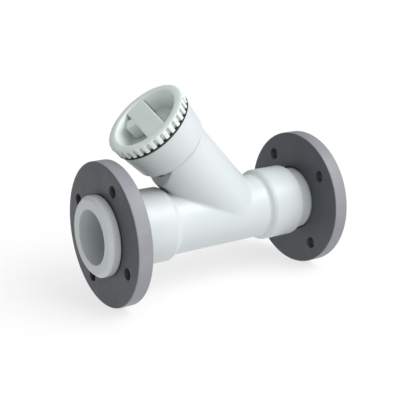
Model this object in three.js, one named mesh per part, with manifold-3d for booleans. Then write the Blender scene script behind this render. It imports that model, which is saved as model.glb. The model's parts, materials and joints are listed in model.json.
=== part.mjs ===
// Basket strainer of the Y pattern, for 63 mm plastic pipe (DN 50), with loose backing flanges.
// Units are millimetres and +Z is up. The run lies along X. Water enters at +X, and the cleaning
// branch leans towards the outlet at -X. The origin is below mid-length, where the flanges stand.
import * as THREE from "three";
import { mergeVertices } from "three/addons/utils/BufferGeometryUtils.js";
import Module from "manifold-3d";

const GAP = 0.3; // between pieces that touch
const PAST = 1; // how far a cutting tool runs past the face that it cuts
const AROUND = 36; // facets round a turned piece
const BASKET_AROUND = 24;
const EDGE = 1; // small chamfer on moulded edges

// Run of the body, measured from mid-length
const RUN_RADIUS = 38.2;
const RUN_BORE = 29;
const SOCKET_RADIUS = 43.3;
const SOCKET_BORE = 31.8;
const SOCKET_END = 108.4;
const SOCKET_DEPTH = 36.4;
const INLET_STEP = 69; // where the inlet socket steps down to the run
const OUTLET_STEP = 70.6;
const STEP_SLOPE = 8; // length of both steps

// Branch of the body, measured along its axis from the run's axis
const BRANCH_X = 26.2; // where the two axes cross
const BRANCH_TILT = THREE.MathUtils.degToRad(48); // above the run, towards the outlet
const BARREL_RADIUS = 41.5; // in the plane of the two axes
const BARREL_SIDE = 38.1; // across that plane, so that the barrel's sides run out into the run's
const CHAMBER_BORE = 34;
const MOUTH_STEP = 121;
const MOUTH_END = 155.5;
const MOUTH_RADIUS = 44.5; // at its foot, from where it widens
const MOUTH_RIM = 48.3; // at the gasket
const MOUTH_BORE = 38.6; // clears the cap's thread
const MOUTH_BORE_DEPTH = 31;
const SEAT_TOP = -2.3; // the slanting partition that the basket stands on
const SEAT_THICKNESS = 4.7;
const SEAT_BORE = 24.5;
const CUT_REACH = 100; // reach of tools that cut right across the body

// Stub ends, fused into the sockets
const HALF_LENGTH = 157; // mid-length to either collar's face
const COLLAR_RADIUS = 46;
const COLLAR_THICKNESS = 13;
const COLLAR_ROUND = 3;
const COLLAR_STEPS = 3; // facets on the collar's rounded edge
const NECK_RADIUS = 38;
const SPIGOT_RADIUS = 31.5;
const STUB_BORE = 27;
const BORE_MOUTH = 31; // the bore is wider from the collar to inside the neck
const BORE_MOUTH_DEPTH = 34;
const BORE_TAPER = 12;

// Backing flanges, loose on the necks
const FLANGE_RADIUS = 82.5;
const FLANGE_THICKNESS = 18;
const FLANGE_BORE = 39;
const BOLT_CIRCLE = 62.5; // radius
const BOLT_HOLE = 7; // radius
const BOLTS = 4;
const BOLT_FACETS = 16;
const INLET_TURN = THREE.MathUtils.degToRad(-38); // how far each flange is turned on its neck
const OUTLET_TURN = THREE.MathUtils.degToRad(64);

// Gasket and screw cap
const GASKET_THICKNESS = 2;
const GASKET_RADIUS = 48.5;
const GASKET_BORE = 39.2;
const HEAD_BASE = MOUTH_END + GAP + GASKET_THICKNESS + GAP;
const HEAD_RADIUS = 50;
const HEAD_CORE = 45; // radius behind the grip teeth
const TEETH = 34;
const TEETH_HEIGHT = 8.2;
const TOOTH_TIP = 49.2;
const TOOTH_ROOT = 46.8;
const TOOTH_WIDTH = 0.6; // at the root, as a share of the teeth's spacing
const TOOTH_FLANK = 0.12; // each sloping side, as a share of the spacing
const LIP_HEIGHT = 0.8;
const CREST_HEIGHT = 11.6; // head base to the rim's crest
const CREST_RADIUS = 44.5;
const CREST_STEPS = 4; // facets on the rim's shoulder
const RECESS_RADIUS = 39.5; // at the top; it narrows to the floor
const RECESS_FLOOR = 149;
const RECESS_FLOOR_RADIUS = 32.5;
const GRIP_TOP = 168; // grip bar across the recess
const GRIP_WIDTH = 24;
const GRIP_ARM_REACH = 27; // the arm that leaves one side of the bar, from the cap's centre
const GRIP_ARM_WIDTH = 13;
const GRIP_ARM_SIDE = -0.5; // the arm's lower side, from the cap's centre
const GRIP_ARM_TURN = THREE.MathUtils.degToRad(-120); // from the bar to the arm
const CAP_TURN = THREE.MathUtils.degToRad(-105); // where the tightened cap stops
const PLUG_RADIUS = 36.9;
const PLUG_BASE = 128;
const PLUG_HOLLOW = 30.5; // radius of the hollow that takes the basket's end
const THREAD_RADIUS = 38.2;
const THREAD_PITCH = 6;
const THREAD_TURNS = 3;
const THREAD_BASE = 131;
const THREAD_CREST = 1; // width of the ridge's top
const THREAD_ROOT = 4; // width where the ridge meets the plug

// Strainer basket
const BASKET_BASE = SEAT_TOP + GAP;
const BASKET_END = 142;
const RING_RADIUS = 28.7;
const RING_THICKNESS = 2.7;
const SLEEVE_RADIUS = 27; // inside of both end pieces' sleeves
const SLEEVE_LENGTH = 7.5;
const END_THICKNESS = 4;
const TUBE_RADIUS = 26.7;
const TUBE_BORE = 25.5;
const MESH_RADIUS = 25.2;
const MESH_BORE = 24.7;
const HOLE_COLUMNS = 8;
const HOLE_ROWS = 6;
const HOLE_RADIUS = 6.5;
const HOLE_PITCH = 19;
const HOLE_FACETS = 6;

const wasm = await Module();
wasm.setup();

const bodyGrey = plastic(0xdfe3e2, 0.42);
const capGrey = plastic(0xd3d9d6, 0.4);
const flangeGrey = plastic(0x5c606a, 0.55);
const gasketBlack = plastic(0x141416, 0.7);
const basketGrey = plastic(0xc9ccca, 0.5);
const steel = new THREE.MeshStandardMaterial({ color: 0xb9bcc0, roughness: 0.35, metalness: 1 });

function plastic(color, roughness) {
  return new THREE.MeshStandardMaterial({ color, roughness, metalness: 0 });
}

// A closed three.js geometry as a solid that can be joined and cut.
function solid(geometry) {
  geometry.deleteAttribute("normal");
  geometry.deleteAttribute("uv");
  const merged = mergeVertices(geometry);
  const corners = merged.index.array;
  const triangles = [];
  for (let i = 0; i < corners.length; i += 3) {
    const [a, b, c] = corners.slice(i, i + 3);
    if (a !== b && b !== c && c !== a) triangles.push(a, b, c);
  }
  const vertProperties = merged.attributes.position.array;
  const triVerts = new Uint32Array(triangles);
  return new wasm.Manifold(new wasm.Mesh({ numProp: 3, vertProperties, triVerts }));
}

// The named mesh of a solid.
function piece(name, made, material) {
  const { vertProperties, triVerts } = made.getMesh();
  const geometry = new THREE.BufferGeometry();
  geometry.setAttribute("position", new THREE.BufferAttribute(vertProperties, 3));
  geometry.setIndex(new THREE.BufferAttribute(triVerts, 1));
  geometry.computeVertexNormals();
  const mesh = new THREE.Mesh(geometry, material);
  mesh.name = name;
  return mesh;
}

// A shape turned about the Y axis. The outline is [radius, height] pairs, anticlockwise, and it
// starts and ends on the axis or is closed here.
function turned(outline, facets = AROUND) {
  const points = outline.map(([radius, height]) => new THREE.Vector2(radius, height));
  if (points[0].x > 0) points.push(points[0].clone());
  return new THREE.LatheGeometry(points, facets);
}

function turnedRod(radius, low, high, facets = AROUND) {
  return turned([[0, low], [radius, low], [radius, high], [0, high]], facets);
}

function turnedRing(inner, outer, low, high, facets = AROUND) {
  return turned([[inner, low], [outer, low], [outer, high], [inner, high]], facets);
}

// Points of a quarter ellipse from a wall of the given radius, over to a flat top.
function shoulder(radius, height, inwards, upwards, steps) {
  const points = [];
  for (let i = 0; i <= steps; i++) {
    const angle = (Math.PI / 2) * (i / steps);
    const lower = inwards * (1 - Math.cos(angle));
    points.push([radius - lower, height + upwards * Math.sin(angle)]);
  }
  return points;
}

// The branch's frame: Y runs out along the branch, X across it in the plane of the two axes.
function branchFrame() {
  const turn = new THREE.Euler(Math.PI / 2, BRANCH_TILT - Math.PI / 2, 0, "YXZ");
  const frame = new THREE.Matrix4().makeRotationFromEuler(turn);
  return frame.setPosition(BRANCH_X, 0, 0);
}

function alongRun(geometry) {
  return solid(geometry.rotateZ(-Math.PI / 2));
}

function alongBranch(geometry) {
  return solid(geometry.applyMatrix4(branchFrame()));
}

function runOutside() {
  return alongRun(
    turned([
      [0, -SOCKET_END],
      [SOCKET_RADIUS - EDGE, -SOCKET_END],
      [SOCKET_RADIUS, -SOCKET_END + EDGE],
      [SOCKET_RADIUS, -OUTLET_STEP],
      [RUN_RADIUS, -OUTLET_STEP + STEP_SLOPE],
      [RUN_RADIUS, INLET_STEP - STEP_SLOPE],
      [SOCKET_RADIUS, INLET_STEP],
      [SOCKET_RADIUS, SOCKET_END - EDGE],
      [SOCKET_RADIUS - EDGE, SOCKET_END],
      [0, SOCKET_END],
    ]),
  );
}

function branchOutside() {
  const barrel = turnedRod(BARREL_RADIUS, 0, MOUTH_STEP).scale(1, 1, BARREL_SIDE / BARREL_RADIUS);
  const mouthRise = MOUTH_RADIUS - BARREL_SIDE + GAP;
  const mouth = turned([
    [0, MOUTH_STEP - mouthRise],
    [MOUTH_RADIUS - mouthRise, MOUTH_STEP - mouthRise],
    [MOUTH_RADIUS, MOUTH_STEP],
    [MOUTH_RIM, MOUTH_END - EDGE],
    [MOUTH_RIM - EDGE, MOUTH_END],
    [0, MOUTH_END],
  ]);
  return alongBranch(barrel).add(alongBranch(mouth));
}

// The waterway: the run's bore with the slanting seat left standing in it, then the chamber.
function waterway() {
  const seatBase = SEAT_TOP - SEAT_THICKNESS;
  const run = alongRun(turnedRod(RUN_BORE, -SOCKET_END, SOCKET_END));
  const seat = alongBranch(turnedRing(SEAT_BORE, CUT_REACH, seatBase, SEAT_TOP));
  const outlet = alongRun(turnedRod(SOCKET_BORE, -SOCKET_END - PAST, SOCKET_DEPTH - SOCKET_END));
  const inlet = alongRun(turnedRod(SOCKET_BORE, SOCKET_END - SOCKET_DEPTH, SOCKET_END + PAST));
  const chamber = alongBranch(turnedRod(CHAMBER_BORE, SEAT_TOP, MOUTH_END));
  const mouth = alongBranch(turnedRod(MOUTH_BORE, MOUTH_END - MOUTH_BORE_DEPTH, MOUTH_END + PAST));
  return run.subtract(seat).add(outlet).add(inlet).add(chamber).add(mouth);
}

function body() {
  const made = runOutside().add(branchOutside()).subtract(waterway());
  return piece("y_body", made, bodyGrey);
}

function stubEnd(name) {
  const spigotEnd = SOCKET_END - SOCKET_DEPTH + GAP;
  const neckStart = SOCKET_END + GAP;
  const collarBack = HALF_LENGTH - COLLAR_THICKNESS;
  const outline = [
    [STUB_BORE, spigotEnd],
    [SPIGOT_RADIUS, spigotEnd],
    [SPIGOT_RADIUS, neckStart],
    [NECK_RADIUS, neckStart],
    [NECK_RADIUS, collarBack],
    [COLLAR_RADIUS, collarBack],
    ...shoulder(COLLAR_RADIUS, HALF_LENGTH - COLLAR_ROUND, COLLAR_ROUND, COLLAR_ROUND, COLLAR_STEPS),
    [BORE_MOUTH, HALF_LENGTH],
    [BORE_MOUTH, HALF_LENGTH - BORE_MOUTH_DEPTH],
    [STUB_BORE, HALF_LENGTH - BORE_MOUTH_DEPTH - BORE_TAPER],
  ];
  return piece(name, solid(turned(outline)), bodyGrey);
}

function backingFlange(name, turn) {
  const front = HALF_LENGTH - COLLAR_THICKNESS - GAP;
  const back = front - FLANGE_THICKNESS;
  let made = solid(
    turned([
      [FLANGE_BORE, back],
      [FLANGE_RADIUS - EDGE, back],
      [FLANGE_RADIUS, back + EDGE],
      [FLANGE_RADIUS, front - EDGE],
      [FLANGE_RADIUS - EDGE, front],
      [FLANGE_BORE, front],
    ]),
  );
  for (let bolt = 0; bolt < BOLTS; bolt++) {
    const hole = turnedRod(BOLT_HOLE, back - PAST, front + PAST, BOLT_FACETS);
    hole.translate(0, 0, BOLT_CIRCLE).rotateY((2 * Math.PI * bolt) / BOLTS);
    made = made.subtract(solid(hole));
  }
  const mesh = piece(name, made, flangeGrey);
  mesh.rotation.y = turn;
  return mesh;
}

// A stub end and its flange, with Y running outwards along the run.
function pipeEnd(prefix, direction, turn) {
  const end = new THREE.Group();
  end.add(stubEnd(prefix + "_stub_end"));
  end.add(backingFlange(prefix + "_backing_flange", turn));
  end.rotation.z = (-direction * Math.PI) / 2;
  return end;
}

function gasket() {
  const low = MOUTH_END + GAP;
  const ring = turnedRing(GASKET_BORE, GASKET_RADIUS, low, low + GASKET_THICKNESS);
  return piece("cap_gasket", solid(ring), gasketBlack);
}

// The cap's head and hollow plug, without its grip bar, teeth and thread.
function capBlank() {
  const lip = HEAD_BASE + TEETH_HEIGHT;
  const round = lip + LIP_HEIGHT;
  const crest = HEAD_BASE + CREST_HEIGHT;
  return solid(
    turned([
      [0, BASKET_END + GAP],
      [PLUG_HOLLOW, BASKET_END + GAP],
      [PLUG_HOLLOW, PLUG_BASE],
      [PLUG_RADIUS - EDGE, PLUG_BASE],
      [PLUG_RADIUS, PLUG_BASE + EDGE],
      [PLUG_RADIUS, HEAD_BASE],
      [HEAD_CORE, HEAD_BASE],
      [HEAD_CORE, lip],
      [HEAD_RADIUS, lip],
      ...shoulder(HEAD_RADIUS, round, HEAD_RADIUS - CREST_RADIUS, crest - round, CREST_STEPS),
      [RECESS_RADIUS + EDGE, crest],
      [RECESS_RADIUS, crest - EDGE],
      [RECESS_FLOOR_RADIUS, RECESS_FLOOR],
      [0, RECESS_FLOOR],
    ]),
  );
}

// The ring of grip teeth below the lip.
function gripTeeth() {
  const points = [];
  const tooth = [
    [TOOTH_ROOT, 0],
    [TOOTH_TIP, TOOTH_FLANK],
    [TOOTH_TIP, TOOTH_WIDTH - TOOTH_FLANK],
    [TOOTH_ROOT, TOOTH_WIDTH],
  ];
  for (let count = 0; count < TEETH; count++) {
    for (const [radius, offset] of tooth) {
      const angle = (2 * Math.PI * (count + offset)) / TEETH;
      points.push(new THREE.Vector2(radius * Math.cos(angle), radius * Math.sin(angle)));
    }
  }
  const outline = new THREE.Shape(points);
  const bore = (HEAD_CORE + RECESS_RADIUS) / 2;
  outline.holes.push(new THREE.Path().absarc(0, 0, bore, 0, 2 * Math.PI, true));
  const settings = { depth: TEETH_HEIGHT + EDGE, bevelEnabled: false, curveSegments: AROUND / 2 };
  const ring = new THREE.ExtrudeGeometry(outline, settings);
  return solid(ring.rotateX(-Math.PI / 2).translate(0, HEAD_BASE, 0));
}

// One continuous ridge that winds up the plug: right-handed, and sunk a little into the plug.
function threadRidge() {
  const root = PLUG_RADIUS - EDGE;
  const flank = (THREAD_ROOT - THREAD_CREST) / 2;
  const crest = [[THREAD_RADIUS, flank], [THREAD_RADIUS, flank + THREAD_CREST]];
  const section = [[root, 0], ...crest, [root, THREAD_ROOT]];
  const steps = THREAD_TURNS * AROUND; // its steps line up with the plug's facets
  const positions = [];
  const index = [];
  for (let step = 0; step <= steps; step++) {
    const angle = (2 * Math.PI * step) / AROUND;
    const rise = THREAD_BASE + (THREAD_PITCH * step) / AROUND;
    for (const [radius, height] of section) {
      positions.push(radius * Math.cos(angle), rise + height, -radius * Math.sin(angle));
    }
  }
  const corners = section.length;
  for (let step = 0; step < steps; step++) {
    for (let corner = 0; corner < corners; corner++) {
      const a = step * corners + corner;
      const b = step * corners + ((corner + 1) % corners);
      index.push(a, a + corners, b, b, a + corners, b + corners);
    }
  }
  const last = steps * corners;
  index.push(0, 1, 2, 0, 2, 3, last, last + 2, last + 1, last, last + 3, last + 2);
  const ridge = new THREE.BufferGeometry();
  ridge.setAttribute("position", new THREE.Float32BufferAttribute(positions, 3));
  ridge.setIndex(index);
  return solid(ridge);
}

function rectangle(left, right, low, high, turn) {
  const corners = [[left, low], [right, low], [right, high], [left, high]];
  const centre = new THREE.Vector2();
  return new THREE.Shape(corners.map(([x, y]) => new THREE.Vector2(x, y).rotateAround(centre, turn)));
}

// The bar and its one arm that the cap is turned by. They run into the recess's wall.
function grip() {
  const half = GRIP_WIDTH / 2;
  const bar = rectangle(-HEAD_CORE, HEAD_CORE, -half, half, 0);
  const armTop = GRIP_ARM_SIDE + GRIP_ARM_WIDTH;
  const arm = rectangle(0, GRIP_ARM_REACH, -armTop, -GRIP_ARM_SIDE, GRIP_ARM_TURN);
  const settings = { depth: GRIP_TOP + PAST - RECESS_FLOOR, bevelEnabled: false };
  const [barSolid, armSolid] = [bar, arm].map((outline) => {
    const block = new THREE.ExtrudeGeometry(outline, settings);
    return solid(block.rotateX(-Math.PI / 2).translate(0, RECESS_FLOOR - PAST, 0));
  });
  const room = turned([
    [0, RECESS_FLOOR - PAST],
    [RECESS_FLOOR_RADIUS + PAST, RECESS_FLOOR - PAST],
    [RECESS_RADIUS + PAST, GRIP_TOP + PAST],
    [0, GRIP_TOP + PAST],
  ]);
  return barSolid.add(armSolid).intersect(solid(room));
}

function screwCap() {
  const made = capBlank().add(grip()).add(gripTeeth()).add(threadRidge());
  const mesh = piece("screw_cap", made, capGrey);
  mesh.rotation.y = CAP_TURN;
  return mesh;
}

function seatRing() {
  const shelf = BASKET_BASE + RING_THICKNESS;
  const outline = [
    [SEAT_BORE, BASKET_BASE],
    [RING_RADIUS, BASKET_BASE],
    [RING_RADIUS, shelf + SLEEVE_LENGTH],
    [SLEEVE_RADIUS, shelf + SLEEVE_LENGTH],
    [SLEEVE_RADIUS, shelf],
    [SEAT_BORE, shelf],
  ];
  return piece("basket_seat_ring", solid(turned(outline, BASKET_AROUND)), basketGrey);
}

function endCap() {
  const underside = BASKET_END - END_THICKNESS;
  const outline = [
    [0, underside],
    [SLEEVE_RADIUS, underside],
    [SLEEVE_RADIUS, underside - SLEEVE_LENGTH],
    [RING_RADIUS, underside - SLEEVE_LENGTH],
    [RING_RADIUS, BASKET_END - EDGE],
    [RING_RADIUS - EDGE, BASKET_END],
    [0, BASKET_END],
  ];
  return piece("basket_end_cap", solid(turned(outline, BASKET_AROUND)), basketGrey);
}

// The punched tube. Each punch goes right across, so it makes two opposite holes.
function basketTube(low, high) {
  let made = solid(turnedRing(TUBE_BORE, TUBE_RADIUS, low, high, BASKET_AROUND));
  const middle = (low + high) / 2;
  for (let row = 0; row < HOLE_ROWS; row++) {
    const height = middle + HOLE_PITCH * (row - (HOLE_ROWS - 1) / 2);
    for (let column = 0; column < HOLE_COLUMNS / 2; column++) {
      const punch = new THREE.CylinderGeometry(HOLE_RADIUS, HOLE_RADIUS, 3 * TUBE_RADIUS, HOLE_FACETS);
      const turn = (2 * Math.PI * (column + (row % 2) / 2)) / HOLE_COLUMNS;
      punch.rotateX(Math.PI / 2).rotateY(turn).translate(0, height, 0);
      made = made.subtract(solid(punch));
    }
  }
  return piece("basket_tube", made, steel);
}

function basket() {
  const low = BASKET_BASE + RING_THICKNESS + GAP;
  const high = BASKET_END - END_THICKNESS - GAP;
  const whole = new THREE.Group();
  whole.add(seatRing(), endCap(), basketTube(low, high));
  const liner = turnedRing(MESH_BORE, MESH_RADIUS, low, high, BASKET_AROUND);
  whole.add(piece("basket_mesh", solid(liner), steel));
  return whole;
}

function strainer() {
  const branch = new THREE.Group();
  branch.add(basket(), gasket(), screwCap());
  branch.applyMatrix4(branchFrame());
  const run = new THREE.Group();
  run.add(body(), branch, pipeEnd("inlet", 1, INLET_TURN), pipeEnd("outlet", -1, OUTLET_TURN));
  run.position.z = FLANGE_RADIUS;
  const whole = new THREE.Group();
  whole.add(run);
  return whole;
}

export default strainer();
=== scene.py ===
import json
import math

import bmesh
import bpy
import numpy as np
from mathutils import Matrix, Vector


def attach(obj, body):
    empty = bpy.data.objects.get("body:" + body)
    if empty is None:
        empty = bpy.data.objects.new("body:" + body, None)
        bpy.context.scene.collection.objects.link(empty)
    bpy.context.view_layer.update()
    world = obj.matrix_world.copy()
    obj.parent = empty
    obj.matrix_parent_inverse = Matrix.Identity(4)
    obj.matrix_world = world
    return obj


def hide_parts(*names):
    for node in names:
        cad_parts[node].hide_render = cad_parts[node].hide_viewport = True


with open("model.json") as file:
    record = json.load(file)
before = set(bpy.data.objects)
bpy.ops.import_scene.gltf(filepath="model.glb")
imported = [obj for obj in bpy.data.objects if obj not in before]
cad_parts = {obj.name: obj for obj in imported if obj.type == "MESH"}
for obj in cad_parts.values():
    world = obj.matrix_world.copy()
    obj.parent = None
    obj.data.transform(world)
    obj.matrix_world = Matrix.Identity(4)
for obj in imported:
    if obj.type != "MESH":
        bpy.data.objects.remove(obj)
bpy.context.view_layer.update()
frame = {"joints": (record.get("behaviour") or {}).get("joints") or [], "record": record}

JOINTS = {joint["name"]: joint for joint in frame["joints"]}
OPENINGS = frame["record"]["physics"]["openings"]
MM = 0.001
GAP = 0.3  # left between pieces that touch

AROUND = 192  # facets round a turned piece
AROUND_BASKET = 128
AROUND_HOLE = 64
ARC_STEPS = 6  # facets on a rounded edge
SMOOTH_BELOW = math.radians(35)  # edges sharper than this stay crisp

# Body
RUN_RADIUS = 38.2
RUN_BORE = 29
SOCKET_RADIUS = 43.3
SOCKET_BORE = 31.8
SOCKET_END = 108.4
SOCKET_DEPTH = 36.4
INLET_STEP = 69
OUTLET_STEP = 70.6
STEP_SLOPE = 8  # length of both steps
STEP_BEAD = 0.5  # the small edge where a step ends
STEP_FACETS = 12
BARREL_RADIUS = 41.5  # in the plane of the two axes
BARREL_SIDE = 38.1  # across that plane
CHAMBER_BORE = 34
MOUTH_STEP = 121
MOUTH_END = 155.5
MOUTH_RADIUS = 44.5  # at its foot, from where it widens
MOUTH_RIM = 48.3  # at the gasket
MOUTH_FOOT_ROUND = 3
MOUTH_BORE = 38.6
MOUTH_BORE_DEPTH = 31
SEAT_TOP = -2.3
SEAT_THICKNESS = 4.7
SEAT_BORE = 24.5
CROTCH = 3  # reach of the fillet where the branch leaves the run
SURFACE_CELL = 1.4  # grid that the blended surface is meshed on
SURFACE_PULLS = 4  # times that each of its points is drawn onto the surface
MOULDED_EDGE = 1.2  # rounding of the body's rims
CUT_PAST = 1  # how far a cutter runs past the face that it opens

# Stub ends
HALF_LENGTH = 157
COLLAR_RADIUS = 46
COLLAR_THICKNESS = 13
COLLAR_CHAMFER = 4
NECK_RADIUS = 38
SPIGOT_RADIUS = 31.5
STUB_BORE = 27
BORE_MOUTH = 31
BORE_MOUTH_DEPTH = 34
BORE_TAPER = 12

# Backing flanges
FLANGE_RADIUS = 82.5
FLANGE_THICKNESS = 18
FLANGE_BORE = 39
BOLT_HOLE = 6.8
BOLT_HOLE_BREAK = 0.4  # chamfer at both ends of a bolt hole
RIM_HIGHLIGHT_START = FLANGE_RADIUS - 1  # the rim's painted highlight, a lighter grey, fades in from here
RIM_HIGHLIGHT_FULL = FLANGE_RADIUS - 0.2
HOLE_SHADE_START = 6.5  # from the flange's middle plane: painted shade on the hole's wall starts here
HOLE_SHADE_FULL = 3
HOLE_SHADE_REACH = FLANGE_RADIUS - 4  # there are no holes outside this radius

# Gasket and screw cap
GASKET_THICKNESS = 2
GASKET_RADIUS = 49.3
GASKET_BORE = 39.2
HEAD_BASE = MOUTH_END + GAP + GASKET_THICKNESS + GAP
HEAD_RADIUS = 50
HEAD_FOOT_RADIUS = 49.2  # at the gasket, over the teeth
TEETH = 34
TEETH_HEIGHT = 8.2
TOOTH_HALF = 0.24  # half of a tooth's crest, as a share of the pitch
TOOTH_FLANK = 0.08  # a tooth's side, as a share of the pitch
TOOTH_DEPTH = 2.9
SLOT_TOP = 10.5  # the slots run out on the rounded shoulder
SLOT_RUN_OUT = 2.6
SLOTTED_FROM = 46  # the plug's side, inside this radius, has no slots
TOOTH_FACETS = 16  # along one tooth's pitch
SIDE_FACETS = 8
SHOULDER_FACETS = 12
LIP_HEIGHT = 1
CREST_HEIGHT = 11.6
CREST_RADIUS = 43
CREST_EDGE = 2.4  # rounding of the recess's edge
RECESS_RADIUS = 39.5  # at the top; it narrows to the floor
RECESS_FLOOR = 149
RECESS_FLOOR_RADIUS = 32.5
GRIP_TOP = 168  # grip bar across the recess
GRIP_WIDTH = 24
GRIP_ARM_REACH = 27  # the arm that leaves one side of the bar, from the cap's centre
GRIP_ARM_WIDTH = 13
GRIP_ARM_SIDE = -0.5  # the arm's lower side, from the cap's centre
GRIP_ARM_TURN = math.radians(-120)  # from the bar to the arm
GRIP_CORNER = 2.5
GRIP_EDGE = 1.5
GRIP_ROOT = RECESS_FLOOR - 1  # the grip is sunk into the floor and the wall by a millimetre
CAP_TURN = math.radians(-105)
PLUG_RADIUS = 36.9
PLUG_BASE = 128
PLUG_HOLLOW = 30.5
THREAD_ROOT = 35.9  # inside the plug's wall
THREAD_RADIUS = 38.2
THREAD_FOOT = 4  # width of the ridge at its root
THREAD_CREST = 1.2
THREAD_STEPS = 96  # in a turn
THREAD_FADE = 12  # steps over which each end runs out
THREAD_PITCH = 6
THREAD_TURNS = 3
THREAD_BASE = 131

# Basket
BASKET_BASE = SEAT_TOP + GAP
BASKET_END = 142
RING_RADIUS = 28.7
RING_THICKNESS = 2.7
SLEEVE_RADIUS = 27
SLEEVE_LENGTH = 7.5
END_THICKNESS = 4
TUBE_RADIUS = 26.7
TUBE_BORE = 25.5
MESH_RADIUS = 25.2
WIRE = 0.45
WIRE_PITCH = 1.6
PUNCH_COLUMNS = 24
PUNCH_RADIUS = 2.3
PUNCH_SIDES = 16
TUBE_MARGIN = 9

# Textures: how fine each pattern is, per metre
SHADE_DRIFT = 14
RIM_DRIFT = 30
HOLE_DRIFT = 60
GLOSS_PATCHES = 60
RIPPLES = 45
MOULD_GRAIN = 2200
RUBBER_DRIFT = 90
RUBBER_GRAIN = 1500
STEEL_DRIFT = 40
STEEL_PATCHES = 120
STEEL_GRAIN = 900

# Painted shade in creases, from ambient occlusion
CREASE_REACH = 4
CREASE_SAMPLES = 8
CREASE_DARK = 0.35  # openness of a full crease
CREASE_CLEAN = 0.85

# Light
ROOM_LIGHT = 0.25  # from every side
SOFTBOX_LIGHT = 2.0  # more of it, spread widely round the key's direction
SOFTBOX_FALLOFF = 3
KEY_AZIMUTH = 32
KEY_ELEVATION = 47
KEY_POWER = 1.5
KEY_SOFTNESS = 36
FLOOR_REACH = 30  # metres
FLOOR_GLOW = 0.7  # the floor is lit from below, like a light table

# Camera, at the photograph's viewing angle; lengths in metres
CAMERA_TARGET = Vector((-0.0138, 0, 0.1019))
CAMERA_AZIMUTH = -33.5
CAMERA_ELEVATION = 16.6
CAMERA_DISTANCE = 1.032
CAMERA_LENS = 79  # millimetres, on a 36 mm sensor


# ---- frames ----

def placed(origin, outwards, across):
    """Local Z runs along outwards and local X along across, from millimetres to metres."""
    z = Vector(outwards).normalized()
    x = Vector(across).normalized()
    y = z.cross(x)
    turn = Matrix((x, y, z)).transposed().to_4x4()
    return Matrix.Translation(origin) @ turn @ Matrix.Scale(MM, 4)


BRANCH_AXIS = Vector(JOINTS["cap_unscrew"]["axis"])
BRANCH_CROSSING = Vector(JOINTS["cap_unscrew"]["pos_m"])
RUN_CENTRE = Vector((0, 0, BRANCH_CROSSING.z))
ALONG_RUN = placed(RUN_CENTRE, (1, 0, 0), (0, 1, 0))
ALONG_OUTLET = placed(RUN_CENTRE, (-1, 0, 0), (0, -1, 0))
ALONG_BRANCH = placed(BRANCH_CROSSING, BRANCH_AXIS, (BRANCH_AXIS.z, 0, -BRANCH_AXIS.x))


def flange_faces():
    """Where a backing flange's back and front face lie, from the middle of the run."""
    front = HALF_LENGTH - COLLAR_THICKNESS - GAP
    return front - FLANGE_THICKNESS, front


# ---- mesh tools ----

def mesh_object(name, points, faces, place):
    mesh = bpy.data.meshes.new(name)
    mesh.from_pydata([place @ Vector(point) for point in points], [], faces)
    shape = bmesh.new()
    shape.from_mesh(mesh)
    bmesh.ops.remove_doubles(shape, verts=shape.verts, dist=MM / 1000)
    shape.to_mesh(mesh)
    shape.free()
    obj = bpy.data.objects.new(name, mesh)
    bpy.context.scene.collection.objects.link(obj)
    return obj


def rounded(corners, steps=ARC_STEPS):
    """The closed outline through (radius, height, rounding) corners, with arcs in the corners."""
    outline = []
    for i, (radius, height, size) in enumerate(corners):
        here = Vector((radius, height))
        if not size:
            outline.append((radius, height))
            continue
        before = (Vector(corners[i - 1][:2]) - here).normalized()
        after = (Vector(corners[(i + 1) % len(corners)][:2]) - here).normalized()
        half = before.angle(after) / 2
        start = here + before * (size / math.tan(half))
        centre = here + (before + after).normalized() * (size / math.sin(half))
        first = math.atan2(*(start - centre).yx)
        end = here + after * (size / math.tan(half))
        sweep = math.remainder(math.atan2(*(end - centre).yx) - first, 2 * math.pi)
        for step in range(steps + 1):
            angle = first + sweep * step / steps
            outline.append((centre.x + size * math.cos(angle), centre.y + size * math.sin(angle)))
    return outline


def turned(name, outline, place, steps=AROUND, radius_at=None):
    """The closed outline turned about local Z. radius_at may change a radius with the angle."""
    points = []
    faces = []
    count = len(outline)
    for step in range(steps):
        angle = 2 * math.pi * step / steps
        for radius, height in outline:
            if radius_at:
                radius = radius_at(radius, height, angle)
            points.append((radius * math.cos(angle), radius * math.sin(angle), height))
        here = step * count
        there = (step + 1) % steps * count
        for i in range(count):
            j = (i + 1) % count
            if outline[i][0] or outline[j][0]:
                faces.append((here + i, there + i, there + j, here + j))
    return mesh_object(name, points, faces, place)


def turned_rod(name, radius, low, high, place, steps=AROUND):
    return turned(name, [(0, low), (radius, low), (radius, high), (0, high)], place, steps)


def combine(base, operation, tools):
    """Joins the tools to the base, or cuts them out of it, and deletes them."""
    for tool in tools:
        change = base.modifiers.new("boolean", "BOOLEAN")
        change.operation = operation
        change.object = tool
        change.solver = "MANIFOLD"
    view = bpy.context.evaluated_depsgraph_get()
    made = bpy.data.meshes.new_from_object(base.evaluated_get(view))
    base.modifiers.clear()
    base.data = made
    for tool in tools:
        bpy.data.objects.remove(tool)
    return base


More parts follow.
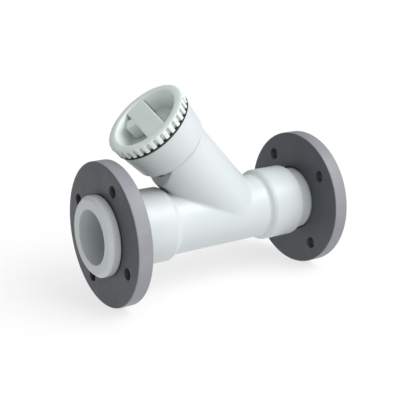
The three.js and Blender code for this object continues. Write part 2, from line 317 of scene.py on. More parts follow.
def surface_of(name, distance, low, high, cell, place):
    """The surface where a distance function is zero, meshed on a grid and then drawn onto it."""
    counts = [int(math.ceil((b - a) / cell)) + 1 for a, b in zip(low, high)]
    axes = [a + cell * np.arange(n) for a, n in zip(low, counts)]
    grid = np.stack(np.meshgrid(*axes, indexing="ij"), axis=-1)
    values = distance(grid.reshape(-1, 3)).reshape(counts)
    inside = values < 0
    whole = np.array(counts) - 1
    total = np.zeros((*whole, 3))
    crossings = np.zeros(whole)
    steps = np.eye(3, dtype=int)
    for axis in range(3):
        others = [a for a in range(3) if a != axis]
        for shift in ((0, 0), (0, 1), (1, 0), (1, 1)):
            start = np.zeros(3, int)
            start[others] = shift
            near = tuple(slice(s, s + n) for s, n in zip(start, whole))
            far = tuple(slice(s, s + n) for s, n in zip(start + steps[axis], whole))
            crossed = inside[near] != inside[far]
            gap = np.where(crossed, values[near] - values[far], 1)
            share = np.where(crossed, values[near] / gap, 0)
            crossing = grid[near] + share[..., None] * (grid[far] - grid[near])
            total += np.where(crossed[..., None], crossing, 0)
            crossings += crossed
    used = crossings > 0
    number = np.full(whole, -1)
    number[used] = np.arange(used.sum())
    points = total[used] / crossings[used][:, None]
    for _ in range(SURFACE_PULLS):
        points -= distance(points)[:, None] * gradient(distance, points)
    faces = []
    for axis in range(3):
        b, c = (axis + 1) % 3, (axis + 2) % 3
        near = [slice(1, -1)] * 3
        near[axis] = slice(0, -1)
        far = list(near)
        far[axis] = slice(1, None)
        leaving = inside[tuple(near)] & ~inside[tuple(far)]
        entering = ~inside[tuple(near)] & inside[tuple(far)]
        for mask, flip in ((leaving, False), (entering, True)):
            at = np.argwhere(mask)
            at[:, b] += 1
            at[:, c] += 1
            ring = [at - steps[b] - steps[c], at - steps[c], at, at - steps[b]]
            quads = np.stack([number[tuple(corner.T)] for corner in ring], axis=1)
            faces += (quads[:, ::-1] if flip else quads).tolist()
    return mesh_object(name, points.tolist(), faces, place)


def gradient(distance, points, reach=0.01):
    columns = []
    for axis in range(3):
        step = np.zeros(3)
        step[axis] = reach
        columns.append((distance(points + step) - distance(points - step)) / (2 * reach))
    slope = np.stack(columns, axis=1)
    return slope / np.maximum((slope**2).sum(axis=1, keepdims=True), 1e-9)


def dress(obj, node, body, material):
    """Smooth shading, a material, and the CAD node that the piece stands for."""
    mesh = obj.data
    mesh.materials.clear()
    mesh.materials.append(material)
    mesh.shade_smooth()
    mesh.set_sharp_from_angle(angle=SMOOTH_BELOW)
    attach(obj, body)
    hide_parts(node)
    return obj


# ---- materials ----

def link(tree, source, output, target, entry):
    tree.links.new(source.outputs[output], target.inputs[entry])


def noise(tree, coordinates, scale, detail=3, roughness=0.5):
    node = tree.nodes.new("ShaderNodeTexNoise")
    node.inputs["Scale"].default_value = scale
    node.inputs["Detail"].default_value = detail
    node.inputs["Roughness"].default_value = roughness
    link(tree, coordinates, "Object", node, "Vector")
    return node


def between(tree, source, low, high, output="Fac", start=0.3, end=0.7):
    """Takes a value that runs from start to end to one that runs from low to high."""
    node = tree.nodes.new("ShaderNodeMapRange")
    node.inputs["From Min"].default_value = start
    node.inputs["From Max"].default_value = end
    node.inputs["To Min"].default_value = low
    node.inputs["To Max"].default_value = high
    link(tree, source, output, node, "Value")
    return node


def vector_math(tree, operation, source, value=(0, 0, 0)):
    node = tree.nodes.new("ShaderNodeVectorMath")
    node.operation = operation
    tree.links.new(source, node.inputs[0])
    node.inputs[1].default_value = value
    return node


def scalar_math(tree, operation, source, value=0):
    node = tree.nodes.new("ShaderNodeMath")
    node.operation = operation
    tree.links.new(source, node.inputs[0])
    node.inputs[1].default_value = value
    return node


def mixed(tree, share, first, second):
    """The second colour laid over the first, as far as share says."""
    mix = tree.nodes.new("ShaderNodeMix")
    mix.data_type = "RGBA"
    tree.links.new(share, mix.inputs["Factor"])
    tree.links.new(first, mix.inputs["A"])
    tree.links.new(second, mix.inputs["B"])
    return mix


def bump(tree, height, strength, depth, before=None):
    node = tree.nodes.new("ShaderNodeBump")
    node.inputs["Strength"].default_value = strength
    node.inputs["Distance"].default_value = depth
    link(tree, height, "Fac", node, "Height")
    if before:
        link(tree, before, "Normal", node, "Normal")
    return node


def blank_material(name):
    material = bpy.data.materials.new(name)
    material.use_nodes = True
    tree = material.node_tree
    coordinates = tree.nodes.new("ShaderNodeTexCoord")
    return material, tree, tree.nodes["Principled BSDF"], coordinates


def tinted(tree, coordinates, dark, light, scale):
    """Colour that drifts between two shades over the surface."""
    drift = noise(tree, coordinates, scale, detail=4)
    mix = tree.nodes.new("ShaderNodeMix")
    mix.data_type = "RGBA"
    mix.inputs["A"].default_value = (*dark, 1)
    mix.inputs["B"].default_value = (*light, 1)
    share = between(tree, drift, 0, 1)
    tree.links.new(share.outputs["Result"], mix.inputs["Factor"])
    return mix


def crease_shaded(tree, shade, darkest):
    """Paints shade into a colour in narrow creases, from ambient occlusion, darkening it down to a
    share of it.
    """
    open_air = tree.nodes.new("ShaderNodeAmbientOcclusion")
    open_air.samples = CREASE_SAMPLES
    open_air.inputs["Distance"].default_value = CREASE_REACH * MM
    share = between(tree, open_air, darkest, 1, "AO", CREASE_DARK, CREASE_CLEAN)
    dim = vector_math(tree, "MULTIPLY", shade.outputs["Result"])
    tree.links.new(share.outputs["Result"], dim.inputs[1])
    return dim


def moulded_plastic(name, dark, light, roughness, grain, ripple, crease_shade):
    """Moulded plastic: a slight drift of shade, painted shade in creases, a fine mould grain and long
    shallow ripples.
    """
    material, tree, surface, coordinates = blank_material(name)
    # painted shade: the colour is darkened in creases by ambient occlusion
    shade = crease_shaded(tree, tinted(tree, coordinates, dark, light, SHADE_DRIFT), crease_shade)
    tree.links.new(shade.outputs["Vector"], surface.inputs["Base Color"])
    patches = noise(tree, coordinates, GLOSS_PATCHES)
    gloss = between(tree, patches, roughness - 0.05, roughness + 0.06)
    tree.links.new(gloss.outputs["Result"], surface.inputs["Roughness"])
    waves = bump(tree, noise(tree, coordinates, RIPPLES, detail=1), ripple, 0.002)
    fine = bump(tree, noise(tree, coordinates, MOULD_GRAIN, detail=2), grain, 0.0002, waves)
    link(tree, fine, "Normal", surface, "Normal")
    surface.inputs["IOR"].default_value = 1.49
    return material


def body_plastic():
    dark = (0.515, 0.555, 0.563)
    light = (0.555, 0.588, 0.596)
    return moulded_plastic(
        "body_plastic", dark, light, roughness=0.34, grain=0.12, ripple=0.05, crease_shade=0.4
    )


def cap_plastic():
    dark = (0.64, 0.71, 0.68)
    light = (0.69, 0.75, 0.725)
    return moulded_plastic(
        "cap_plastic", dark, light, roughness=0.36, grain=0.12, ripple=0.04, crease_shade=0.5
    )


def basket_plastic():
    dark = (0.50, 0.52, 0.51)
    light = (0.56, 0.58, 0.57)
    return moulded_plastic(
        "basket_plastic", dark, light, roughness=0.5, grain=0.15, ripple=0.05, crease_shade=0.5
    )


def on_rim(tree, radius):
    """1 on the flange's turned rim and 0 on its faces, from the distance to the run's axis."""
    return between(tree, radius, 0, 1, "Value", RIM_HIGHLIGHT_START * MM, RIM_HIGHLIGHT_FULL * MM)


def deep_in_hole(tree, coordinates, radius):
    """1 on the walls of the bolt holes, far from both faces, and 0 elsewhere."""
    along = vector_math(tree, "MULTIPLY", coordinates.outputs["Normal"], (1, 0, 0))
    flatness = vector_math(tree, "LENGTH", along.outputs["Vector"])
    on_wall = between(tree, flatness, 1, 0, "Value", 0.2, 0.6)
    inside = scalar_math(tree, "LESS_THAN", radius.outputs["Value"], HOLE_SHADE_REACH * MM)
    wall = scalar_math(tree, "MULTIPLY", on_wall.outputs["Result"])
    tree.links.new(inside.outputs["Value"], wall.inputs[1])
    along_run = vector_math(tree, "MULTIPLY", coordinates.outputs["Object"], (1, 0, 0))
    from_centre = vector_math(tree, "LENGTH", along_run.outputs["Vector"])
    middle = sum(flange_faces()) / 2
    off_middle = scalar_math(tree, "SUBTRACT", from_centre.outputs["Value"], middle * MM)
    off_middle = scalar_math(tree, "ABSOLUTE", off_middle.outputs["Value"])
    deep = between(tree, off_middle, 1, 0, "Value", HOLE_SHADE_FULL * MM, HOLE_SHADE_START * MM)
    both = scalar_math(tree, "MULTIPLY", wall.outputs["Value"])
    tree.links.new(deep.outputs["Result"], both.inputs[1])
    return both


def flange_plastic():
    """Dark moulded plastic with a matt grain. The turned rim is painted a lighter grey than the faces,
    as a painted highlight, and the walls of the bolt holes are painted near black, as painted shade."""
    material = moulded_plastic(
        "flange_plastic",
        (0.055, 0.063, 0.073),
        (0.070, 0.078, 0.089),
        roughness=0.5,
        grain=0.6,
        ripple=0.1,
        crease_shade=0.05,
    )
    tree = material.node_tree
    surface = tree.nodes["Principled BSDF"]
    faces = surface.inputs["Base Color"].links[0].from_socket
    coordinates = next(node for node in tree.nodes if node.type == "TEX_COORD")
    from_axis = vector_math(tree, "SUBTRACT", coordinates.outputs["Object"], RUN_CENTRE)
    from_axis = vector_math(tree, "MULTIPLY", from_axis.outputs["Vector"], (0, 1, 1))
    radius = vector_math(tree, "LENGTH", from_axis.outputs["Vector"])
    # painted highlight: the turned rim gets a lighter grey than the faces
    rim_highlight = tinted(tree, coordinates, (0.20, 0.205, 0.23), (0.25, 0.255, 0.28), RIM_DRIFT)
    share = on_rim(tree, radius)
    colour = mixed(tree, share.outputs["Result"], faces, rim_highlight.outputs["Result"])
    # painted shade: a near-black colour laid on the deep walls of the bolt holes
    dark = tinted(tree, coordinates, (0.012, 0.012, 0.015), (0.02, 0.02, 0.024), HOLE_DRIFT)
    share = deep_in_hole(tree, coordinates, radius)
    colour = mixed(tree, share.outputs["Value"], colour.outputs["Result"], dark.outputs["Result"])
    tree.links.new(colour.outputs["Result"], surface.inputs["Base Color"])
    return material


def black_rubber():
    material, tree, surface, coordinates = blank_material("gasket_rubber")
    shade = tinted(tree, coordinates, (0.006, 0.006, 0.007), (0.014, 0.014, 0.015), RUBBER_DRIFT)
    tree.links.new(shade.outputs["Result"], surface.inputs["Base Color"])
    grain = bump(tree, noise(tree, coordinates, RUBBER_GRAIN), 0.5, 0.0002)
    link(tree, grain, "Normal", surface, "Normal")
    surface.inputs["Roughness"].default_value = 0.7
    return material


def stainless_steel():
    material, tree, surface, coordinates = blank_material("stainless_steel")
    shade = tinted(tree, coordinates, (0.50, 0.51, 0.52), (0.60, 0.61, 0.62), STEEL_DRIFT)
    tree.links.new(shade.outputs["Result"], surface.inputs["Base Color"])
    surface.inputs["Metallic"].default_value = 1
    gloss = between(tree, noise(tree, coordinates, STEEL_PATCHES), 0.24, 0.38)
    tree.links.new(gloss.outputs["Result"], surface.inputs["Roughness"])
    grain = bump(tree, noise(tree, coordinates, STEEL_GRAIN, detail=5), 0.15, 0.0002)
    link(tree, grain, "Normal", surface, "Normal")
    return material


# ---- body ----

def smooth_union(a, b, reach):
    overlap = np.clip(reach - np.abs(a - b), 0, None) / np.maximum(reach, 1e-6)
    return np.minimum(a, b) - overlap**2 * reach / 4


def run_and_barrel(points):
    """Distance to the run joined to the barrel, in the run's frame (local Z along the run).
    The fillet is widest where the two surfaces meet at a sharp angle, and fades where they touch."""
    along = points[:, 2]
    height = points[:, 0] * ALONG_RUN.col[0].z / MM + points[:, 1] * ALONG_RUN.col[1].z / MM
    side = points[:, 0] * ALONG_RUN.col[0].y / MM + points[:, 1] * ALONG_RUN.col[1].y / MM
    radius = np.maximum(np.hypot(height, side), 1e-6)
    run = radius - RUN_RADIUS
    from_crossing = along - BRANCH_CROSSING.x / MM
    out = from_crossing * BRANCH_AXIS.x + height * BRANCH_AXIS.z
    across = from_crossing * BRANCH_AXIS.z - height * BRANCH_AXIS.x
    spread = np.maximum(np.hypot(across / BARREL_RADIUS, side / BARREL_SIDE), 1e-6)
    barrel = (spread - 1) * BARREL_SIDE
    run_normal = np.stack([0 * along, side / radius, height / radius], axis=1)
    lean = np.stack([across / BARREL_RADIUS**2, side / BARREL_SIDE**2], axis=1)
    lean /= np.maximum(np.linalg.norm(lean, axis=1, keepdims=True), 1e-9)
    barrel_normal = np.stack(
        [lean[:, 0] * BRANCH_AXIS.z, lean[:, 1], -lean[:, 0] * BRANCH_AXIS.x], axis=1
    )
    alike = (run_normal * barrel_normal).sum(axis=1)
    reach = CROTCH * np.clip((1 - alike) / 0.5, 0, 1)
    barrel = np.maximum(barrel, np.maximum(-out, out - MOUTH_STEP))
    joined = smooth_union(run, barrel, reach)
    return np.maximum(joined, np.maximum(along - INLET_STEP, -along - OUTLET_STEP))


def junction():
    top = MOUTH_STEP * BRANCH_AXIS.z + BARREL_RADIUS
    far = MOUTH_STEP * BRANCH_AXIS.x + BRANCH_CROSSING.x / MM - BARREL_RADIUS
    room = 4 * SURFACE_CELL
    # local X of the run's frame is world Y, local Y is world Z and local Z is world X
    low = Vector((-BARREL_RADIUS, -BARREL_RADIUS, min(far, -OUTLET_STEP)))
    high = Vector((BARREL_RADIUS, top, INLET_STEP))
    low -= Vector((room, room, room))
    high += Vector((room, room, room))
    return surface_of("body", run_and_barrel, low, high, SURFACE_CELL, ALONG_RUN)


def socket_outside(name, step, place):
    """One end of the run's outside, from the curved step up to the socket to its rim."""
    foot = step - STEP_SLOPE
    overlap = 0.02  # the step starts a hair outside the run
    sunk = 0.6
    lead = 2
    rise = SOCKET_RADIUS - STEP_BEAD - RUN_RADIUS
    shoulder = []
    for i in range(STEP_FACETS + 1):
        share = i / STEP_FACETS
        climbed = (1 - math.cos(math.pi * share)) / 2
        shoulder.append((RUN_RADIUS + overlap + rise * climbed, foot + STEP_SLOPE * share))
    end = rounded([
        (SOCKET_RADIUS, step + STEP_BEAD, 0),
        (SOCKET_RADIUS, SOCKET_END, MOULDED_EDGE),
        (0, SOCKET_END, 0),
    ])
    start = [(0, foot - lead), (RUN_RADIUS - sunk, foot - lead)]
    return turned(name, start + shoulder + end, place)


def mouth_outside():
    rise = MOUTH_RADIUS - BARREL_SIDE + GAP
    outline = rounded([
        (0, MOUTH_STEP - rise, 0),
        (MOUTH_RADIUS - rise, MOUTH_STEP - rise, 0),
        (MOUTH_RADIUS, MOUTH_STEP, MOUTH_FOOT_ROUND),
        (MOUTH_RIM, MOUTH_END, MOULDED_EDGE),
        (0, MOUTH_END, 0),
    ])
    return turned("mouth", outline, ALONG_BRANCH)


def waterway():
    """The run's bore with the slanting seat left standing in it, then sockets, chamber and mouth."""
    run = turned_rod("run_bore", RUN_BORE, -SOCKET_END, SOCKET_END, ALONG_RUN)
    seat_outline = [
        (SEAT_BORE, SEAT_TOP - SEAT_THICKNESS),
        (SOCKET_END, SEAT_TOP - SEAT_THICKNESS),
        (SOCKET_END, SEAT_TOP),
        (SEAT_BORE, SEAT_TOP),
    ]
    combine(run, "DIFFERENCE", [turned("seat", seat_outline, ALONG_BRANCH)])
    parts = []
    low = SOCKET_END - SOCKET_DEPTH
    for place in (ALONG_RUN, ALONG_OUTLET):
        parts.append(turned_rod("socket_bore", SOCKET_BORE, low, SOCKET_END + CUT_PAST, place))
    parts.append(turned_rod("chamber", CHAMBER_BORE, SEAT_TOP, MOUTH_END, ALONG_BRANCH))
    mouth = rounded([
        (0, MOUTH_END - MOUTH_BORE_DEPTH, 0),
        (MOUTH_BORE, MOUTH_END - MOUTH_BORE_DEPTH, 0),
        (MOUTH_BORE, MOUTH_END - 1, 0),
        (MOUTH_BORE + 1 + CUT_PAST, MOUTH_END + CUT_PAST, 0),
        (0, MOUTH_END + CUT_PAST, 0),
    ])
    parts.append(turned("mouth_bore", mouth, ALONG_BRANCH))
    return combine(run, "UNION", parts)


def make_body(material):
    outside = [
        socket_outside("inlet_socket", INLET_STEP, ALONG_RUN),
        socket_outside("outlet_socket", OUTLET_STEP, ALONG_OUTLET),
        mouth_outside(),
    ]
    made = combine(junction(), "UNION", outside)
    made.name = "strainer_body"
    combine(made, "DIFFERENCE", [waterway()])
    dress(made, "y_body", "body", material)


# ---- pipe ends ----

def make_stub_end(prefix, place, material):
    back = HALF_LENGTH - COLLAR_THICKNESS
    outline = rounded([
        (STUB_BORE, SOCKET_END - SOCKET_DEPTH + GAP, 0.8),
        (SPIGOT_RADIUS, SOCKET_END - SOCKET_DEPTH + GAP, 0.8),
        (SPIGOT_RADIUS, SOCKET_END + GAP, 0),
        (NECK_RADIUS, SOCKET_END + GAP, 1),
        (NECK_RADIUS, back, 0),
        (COLLAR_RADIUS, back, 0.8),
        (COLLAR_RADIUS, HALF_LENGTH - COLLAR_CHAMFER, 1.4),
        (COLLAR_RADIUS - COLLAR_CHAMFER, HALF_LENGTH, 0.8),
        (BORE_MOUTH, HALF_LENGTH, 1.2),
        (BORE_MOUTH, HALF_LENGTH - BORE_MOUTH_DEPTH, 10),
        (STUB_BORE, HALF_LENGTH - BORE_MOUTH_DEPTH - BORE_TAPER, 10),
    ])
    made = turned(prefix + "_stub", outline, place)
    dress(made, prefix + "_stub_end", "body", material)


def bolt_tool(centre, axis):
    """A hole's cutter, with a slight chamfer at both ends."""
    back, front = flange_faces()
    wide = BOLT_HOLE + BOLT_HOLE_BREAK + CUT_PAST
    outline = [
        (0, back - CUT_PAST),
        (wide, back - CUT_PAST),
        (BOLT_HOLE, back + BOLT_HOLE_BREAK),
        (BOLT_HOLE, front - BOLT_HOLE_BREAK),
        (wide, front + CUT_PAST),
        (0, front + CUT_PAST),
    ]
    place = placed((0, centre.y, centre.z), axis, (0, 1, 0))
    return turned("bolt_tool", outline, place, AROUND_HOLE)


def make_flange(prefix, place, axis, material):
    back, front = flange_faces()
    outline = rounded([
        (FLANGE_BORE, back, 1),
        (FLANGE_RADIUS, back, 1.6),
        (FLANGE_RADIUS, front, 1.6),
        (FLANGE_BORE, front, 1),
    ])
    made = turned(prefix + "_flange", outline, place)
    tools = []
    for opening in OPENINGS:
        if opening["name"].startswith(prefix + "_bolt_hole"):
            low, high = map(Vector, opening["box_m"])
            tools.append(bolt_tool((low + high) / 2, axis))
    combine(made, "DIFFERENCE", tools)
    dress(made, prefix + "_backing_flange", prefix + "_flange", material)


# ---- cap and gasket ----

def make_gasket(material):
    low = MOUTH_END + GAP
    high = low + GASKET_THICKNESS
    outline = rounded([
        (GASKET_BORE, low, 0.4),
        (GASKET_RADIUS, low, 0.5),
        (GASKET_RADIUS, high, 0.5),
        (GASKET_BORE, high, 0.4),
    ])
    made = turned("gasket_ring", outline, ALONG_BRANCH)
    dress(made, "cap_gasket", "gasket", material)


def grip_radius(radius, height, angle):
    """Cuts the slots between the grip teeth into the head's side, up onto its shoulder."""
    if radius < SLOTTED_FROM or not HEAD_BASE <= height <= HEAD_BASE + SLOT_TOP:
        return radius
    share = (angle * TEETH / (2 * math.pi)) % 1
    slot = min(max((abs(share - 0.5) - TOOTH_HALF) / TOOTH_FLANK, 0), 1)
    run_out = min((HEAD_BASE + SLOT_TOP - height) / SLOT_RUN_OUT, 1)
    return radius - TOOTH_DEPTH * slot * run_out


def head_outline():
    """The cap in section: the toothed side, the rounded crest, the recess and the hollow plug."""
    top = HEAD_BASE + TEETH_HEIGHT
    lip = top + LIP_HEIGHT
    crest = HEAD_BASE + CREST_HEIGHT
    flare = HEAD_RADIUS - HEAD_FOOT_RADIUS
    side = []
    for i in range(SIDE_FACETS + 1):
        share = i / SIDE_FACETS
        side.append((HEAD_FOOT_RADIUS + flare * share, HEAD_BASE + TEETH_HEIGHT * share))
    shoulder = []
    for i in range(SHOULDER_FACETS + 1):
        angle = math.pi / 2 * i / SHOULDER_FACETS
        radius = CREST_RADIUS + (HEAD_RADIUS - CREST_RADIUS) * math.cos(angle)
        shoulder.append((radius, lip + (crest - lip) * math.sin(angle)))
    inner = rounded([
        (RECESS_RADIUS + 3, crest, 0),
        (RECESS_RADIUS, crest, CREST_EDGE),
        (RECESS_FLOOR_RADIUS, RECESS_FLOOR, 2),
        (0, RECESS_FLOOR, 0),
        (0, BASKET_END + GAP, 0),
        (PLUG_HOLLOW, BASKET_END + GAP, 1),
        (PLUG_HOLLOW, PLUG_BASE, 0.6),
        (PLUG_RADIUS, PLUG_BASE, 1.2),
        (PLUG_RADIUS, HEAD_BASE, 0),
    ])
    return side + shoulder + inner


def grip_block(name, left, right, low, high, turn, top, place):
    """A block with rounded sides and a rounded top edge, for the recess."""
    levels = [(GRIP_ROOT, 0)]
    for step in range(ARC_STEPS + 1):
        angle = math.pi / 2 * step / ARC_STEPS
        levels.append((top - GRIP_EDGE * (1 - math.sin(angle)), GRIP_EDGE * (1 - math.cos(angle))))
    points = []
    for height, inset in levels:
        outline = rounded([
            (left + inset, low + inset, GRIP_CORNER),
            (right - inset, low + inset, GRIP_CORNER),
            (right - inset, high - inset, GRIP_CORNER),
            (left + inset, high - inset, GRIP_CORNER),
        ])
        points += [(*(Matrix.Rotation(turn, 2) @ Vector(point)), height) for point in outline]
    count = len(outline)
    faces = [tuple(reversed(range(count))), tuple(range(len(points) - count, len(points)))]
    for level in range(len(levels) - 1):
        for i in range(count):
            j = (i + 1) % count
            a = level * count
            faces.append((a + i, a + j, a + count + j, a + count + i))
    return mesh_object(name, points, faces, place)


def make_grip(place):
    """The bar and its one arm that the cap is turned by, as far as the recess's wall."""
    half = GRIP_WIDTH / 2
    near = -GRIP_ARM_SIDE
    far = near - GRIP_ARM_WIDTH
    arm_top = GRIP_TOP - 0.05  # a hair lower than the bar, so that their tops don't share a plane
    bar = grip_block("grip_bar", -HEAD_RADIUS, HEAD_RADIUS, -half, half, 0, GRIP_TOP, place)
    arm = grip_block("grip_arm", 0, GRIP_ARM_REACH, far, near, GRIP_ARM_TURN, arm_top, place)
    room = [
        (0, GRIP_ROOT),
        (RECESS_FLOOR_RADIUS + 1, GRIP_ROOT),
        (RECESS_RADIUS + 1, GRIP_TOP + 1),
        (0, GRIP_TOP + 1),
    ]
    combine(bar, "UNION", [arm])
    return combine(bar, "INTERSECT", [turned("recess_room", room, place)])


def thread_ridge(name, place):
    """A right-handed ridge wound about local Z, that runs out at both ends."""
    flank = (THREAD_FOOT - THREAD_CREST) / 2
    section = [
        (THREAD_ROOT, 0),
        (THREAD_RADIUS, flank),
        (THREAD_RADIUS, flank + THREAD_CREST),
        (THREAD_ROOT, THREAD_FOOT),
    ]
    points = []
    faces = []
    count = len(section)
    steps = THREAD_TURNS * THREAD_STEPS
    for step in range(steps + 1):
        angle = 2 * math.pi * step / THREAD_STEPS
        rise = THREAD_BASE + THREAD_PITCH * step / THREAD_STEPS
        taper = min(1, step / THREAD_FADE, (steps - step) / THREAD_FADE)
        for radius, height in section:
            r = THREAD_ROOT + (radius - THREAD_ROOT) * taper
            points.append((r * math.cos(angle), r * math.sin(angle), rise + height))
    for step in range(steps):
        for i in range(count):
            j = (i + 1) % count
            a = step * count
            faces.append((a + i, a + count + i, a + count + j, a + j))
    last = steps * count
    faces.append((0, 1, 2, 3))
    faces.append((last + 3, last + 2, last + 1, last))
    return mesh_object(name, points, faces, place)


def make_cap(material):
    place = ALONG_BRANCH @ Matrix.Rotation(CAP_TURN, 4, "Z")
    made = turned("threaded_cap", head_outline(), place, TEETH * TOOTH_FACETS, grip_radius)
    combine(made, "UNION", [make_grip(place), thread_ridge("ridge", place)])
    dress(made, "screw_cap", "cap", material)


# ---- basket ----

def make_seat_ring(material):
    shelf = BASKET_BASE + RING_THICKNESS
    outline = rounded([
        (SEAT_BORE, BASKET_BASE, 0.6),
        (RING_RADIUS, BASKET_BASE, 0.8),
        (RING_RADIUS, shelf + SLEEVE_LENGTH, 0.6),
        (SLEEVE_RADIUS, shelf + SLEEVE_LENGTH, 0.5),
        (SLEEVE_RADIUS, shelf, 0),
        (SEAT_BORE, shelf, 0.5),
    ])
    made = turned("basket_foot", outline, ALONG_BRANCH, AROUND_BASKET)
    dress(made, "basket_seat_ring", "basket", material)


def make_end_cap(material):
    underside = BASKET_END - END_THICKNESS
    outline = rounded([
        (0, underside, 0),
        (SLEEVE_RADIUS, underside, 0),
        (SLEEVE_RADIUS, underside - SLEEVE_LENGTH, 0.5),
        (RING_RADIUS, underside - SLEEVE_LENGTH, 0.6),
        (RING_RADIUS, BASKET_END, 1),
        (0, BASKET_END, 0),
    ])
    made = turned("basket_lid", outline, ALONG_BRANCH, AROUND_BASKET)
    dress(made, "basket_end_cap", "basket", material)


def tube_ends():
    """Where the support tube and its liner start and stop along the branch."""
    return BASKET_BASE + RING_THICKNESS + GAP, BASKET_END - END_THICKNESS - GAP


def on_cylinder(turn, height, radius):
    return (radius * math.cos(turn), radius * math.sin(turn), height)


def punched_rows(points, faces, low, high):
    """Rows of square cells, each with a round hole. Every other row is turned by half a cell, so
    the cells' edges have points at their corners and middles."""
    half_width = math.pi / PUNCH_COLUMNS
    rows = int((high - low) / (2 * half_width * TUBE_RADIUS))
    half_height = (high - low) / rows / 2
    sides = PUNCH_SIDES
    edge = []
    hole = []
    for i in range(sides):
        quarter, step = divmod(i, sides // 4)
        along = 8 * step / sides - 1
        edge.append([(along, -1), (1, along), (-along, 1), (-1, -along)][quarter])
        angle = math.radians(225) + 2 * math.pi * i / sides
        hole.append((PUNCH_RADIUS / TUBE_RADIUS * math.cos(angle), PUNCH_RADIUS * math.sin(angle)))
    for row in range(rows):
        middle = low + half_height * (2 * row + 1)
        for column in range(PUNCH_COLUMNS):
            turn = half_width * (2 * column + row % 2)
            first = len(points)
            for radius in (TUBE_RADIUS, TUBE_BORE):
                for x, y in edge:
                    points.append(on_cylinder(turn + x * half_width, middle + y * half_height, radius))
                for x, y in hole:
                    points.append(on_cylinder(turn + x, middle + y, radius))
            for i in range(sides):
                j = (i + 1) % sides
                a, b, c, d = first + i, first + j, first + sides + j, first + sides + i
                inner = 2 * sides
                faces.append((a, b, c, d))
                faces.append((d + inner, c + inner, b + inner, a + inner))
                faces.append((d, c, c + inner, d + inner))


def plain_margin(points, faces, low, high, end_is_low):
    """A plain band of the tube, closed at its outer end and open towards the punched rows."""
    columns = PUNCH_COLUMNS * PUNCH_SIDES // 4
    first = len(points)
    for i in range(columns):
        turn = 2 * math.pi * i / columns
        for radius in (TUBE_RADIUS, TUBE_BORE):
            points.append(on_cylinder(turn, low, radius))
            points.append(on_cylinder(turn, high, radius))
    outer, inner = (0, 2) if end_is_low else (1, 3)
    for i in range(columns):
        a = first + 4 * i
        b = first + 4 * ((i + 1) % columns)
        faces.append((a, b, b + 1, a + 1))
        faces.append((a + 3, b + 3, b + 2, a + 2))
        end = (a + inner, b + inner, b + outer, a + outer)
        faces.append(end if end_is_low else tuple(reversed(end)))


def make_tube(material):
    low, high = tube_ends()
    points = []
    faces = []
    punched_rows(points, faces, low + TUBE_MARGIN, high - TUBE_MARGIN)
    plain_margin(points, faces, low, low + TUBE_MARGIN, True)
    plain_margin(points, faces, high - TUBE_MARGIN, high, False)
    made = mesh_object("punched_tube", points, faces, ALONG_BRANCH)
    dress(made, "basket_tube", "basket", material)


def add_wire(points, faces, path, upright):
    """A four-sided wire through (turn, radius, height) places: an upright, or a closed ring."""
    first = len(points)
    half = WIRE / 2
    for turn, radius, height in path:
        for side in range(4):
            angle = math.pi / 2 * side + math.pi / 4
            r = radius + half * math.cos(angle)
            shift = half * math.sin(angle)
            if upright:
                points.append(on_cylinder(turn + shift / r, height, r))
            else:
                points.append(on_cylinder(turn, height + shift, r))
    count = len(path)
    for i in range(count - 1 if upright else count):
        for side in range(4):
            a = first + 4 * i + side
            b = first + 4 * i + (side + 1) % 4
            c = first + 4 * ((i + 1) % count) + (side + 1) % 4
            d = first + 4 * ((i + 1) % count) + side
            faces.append((a, b, c, d) if upright else (d, c, b, a))
    if upright:
        last = first + 4 * (count - 1)
        faces.append((first + 3, first + 2, first + 1, first))
        faces.append((last, last + 1, last + 2, last + 3))


def make_mesh_liner(material):
    """Woven wire: rings that pass inside and outside of the uprights by turns."""
    low, high = tube_ends()
    rows = int((high - low) / WIRE_PITCH)
    pitch = (high - low) / rows
    uprights = 2 * int(math.pi * MESH_RADIUS / WIRE_PITCH)
    middle = MESH_RADIUS - WIRE
    wave = WIRE / 2
    turns = [2 * math.pi * i / uprights for i in range(uprights)]
    heights = [low + pitch * (row + 0.5) for row in range(rows)]
    points = []
    faces = []
    for row, height in enumerate(heights):
        path = []
        for i, turn in enumerate(turns):
            weave = 1 if (i + row) % 2 else -1
            path.append((turn, middle + wave * weave, height))
        add_wire(points, faces, path, False)
    for i, turn in enumerate(turns):
        path = [(turn, middle, low)]
        for row, height in enumerate(heights):
            weave = -1 if (i + row) % 2 else 1
            path.append((turn, middle + wave * weave, height))
        path.append((turn, middle, high))
        add_wire(points, faces, path, True)
    made = mesh_object("woven_liner", points, faces, ALONG_BRANCH)
    dress(made, "basket_mesh", "basket", material)


# ---- stage ----

def direction(azimuth, elevation):
    """The direction from the part towards a camera or a lamp. Azimuth runs from -Y towards +X, in
    degrees."""
    turn = math.radians(azimuth)
    rise = math.radians(elevation)
    return Vector((math.sin(turn) * math.cos(rise), -math.cos(turn) * math.cos(rise), math.sin(rise)))


def make_floor():
    far = FLOOR_REACH
    floor = mesh_object(
        "floor",
        [(-far, -far, 0), (far, -far, 0), (far, far, 0), (-far, far, 0)],
        [(0, 1, 2, 3)],
        Matrix.Identity(4),
    )
    material, tree, surface, coordinates = blank_material("pale_floor")
    shade = tinted(tree, coordinates, (0.24, 0.24, 0.24), (0.26, 0.26, 0.26), 2)
    tree.links.new(shade.outputs["Result"], surface.inputs["Base Color"])
    surface.inputs["Roughness"].default_value = 0.9
    surface.inputs["Emission Color"].default_value = (1, 1, 1, 1)
    surface.inputs["Emission Strength"].default_value = FLOOR_GLOW
    floor.data.materials.append(material)


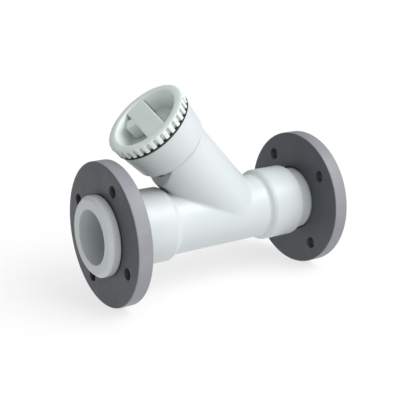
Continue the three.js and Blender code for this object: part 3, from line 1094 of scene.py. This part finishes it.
def make_key():
    """A soft sun."""
    data = bpy.data.lights.new("key", "SUN")
    data.energy = KEY_POWER
    data.angle = math.radians(KEY_SOFTNESS)
    lamp = bpy.data.objects.new("key", data)
    lamp.rotation_mode = "QUATERNION"
    towards = direction(KEY_AZIMUTH, KEY_ELEVATION)
    lamp.rotation_quaternion = (-towards).to_track_quat("-Z", "Y")
    bpy.context.scene.collection.objects.link(lamp)


def make_room_light():
    """Even light from every side, and more of it round the key's direction."""
    world = bpy.data.worlds.new("studio")
    world.use_nodes = True
    tree = world.node_tree
    background = tree.nodes["Background"]
    background.inputs["Color"].default_value = (1, 1, 1, 1)
    sky = tree.nodes.new("ShaderNodeTexCoord")
    key = direction(KEY_AZIMUTH, KEY_ELEVATION)
    towards = vector_math(tree, "DOT_PRODUCT", sky.outputs["Generated"], key)
    facing = scalar_math(tree, "MAXIMUM", towards.outputs["Value"], 0)
    spread = scalar_math(tree, "POWER", facing.outputs["Value"], SOFTBOX_FALLOFF)
    softbox = scalar_math(tree, "MULTIPLY", spread.outputs["Value"], SOFTBOX_LIGHT)
    strength = scalar_math(tree, "ADD", softbox.outputs["Value"], ROOM_LIGHT)
    tree.links.new(strength.outputs["Value"], background.inputs["Strength"])
    bpy.context.scene.world = world


def make_camera():
    back = direction(CAMERA_AZIMUTH, CAMERA_ELEVATION)
    data = bpy.data.cameras.new("camera")
    data.lens = CAMERA_LENS
    data.sensor_width = 36
    data.clip_start = 0.05
    camera = bpy.data.objects.new("camera", data)
    camera.location = CAMERA_TARGET + back * CAMERA_DISTANCE
    camera.rotation_mode = "QUATERNION"
    camera.rotation_quaternion = (-back).to_track_quat("-Z", "Y")
    bpy.context.scene.collection.objects.link(camera)
    bpy.context.scene.camera = camera


def build():
    make_camera()
    make_key()
    make_room_light()
    make_floor()
    bpy.context.scene.view_settings.view_transform = "Standard"
    body = body_plastic()
    flange = flange_plastic()
    basket = basket_plastic()
    steel = stainless_steel()
    make_body(body)
    for prefix, place, axis in (("inlet", ALONG_RUN, (1, 0, 0)), ("outlet", ALONG_OUTLET, (-1, 0, 0))):
        make_stub_end(prefix, place, body)
        make_flange(prefix, place, axis, flange)
    make_gasket(black_rubber())
    make_cap(cap_plastic())
    make_seat_ring(basket)
    make_end_cap(basket)
    make_tube(steel)
    make_mesh_liner(steel)


build()
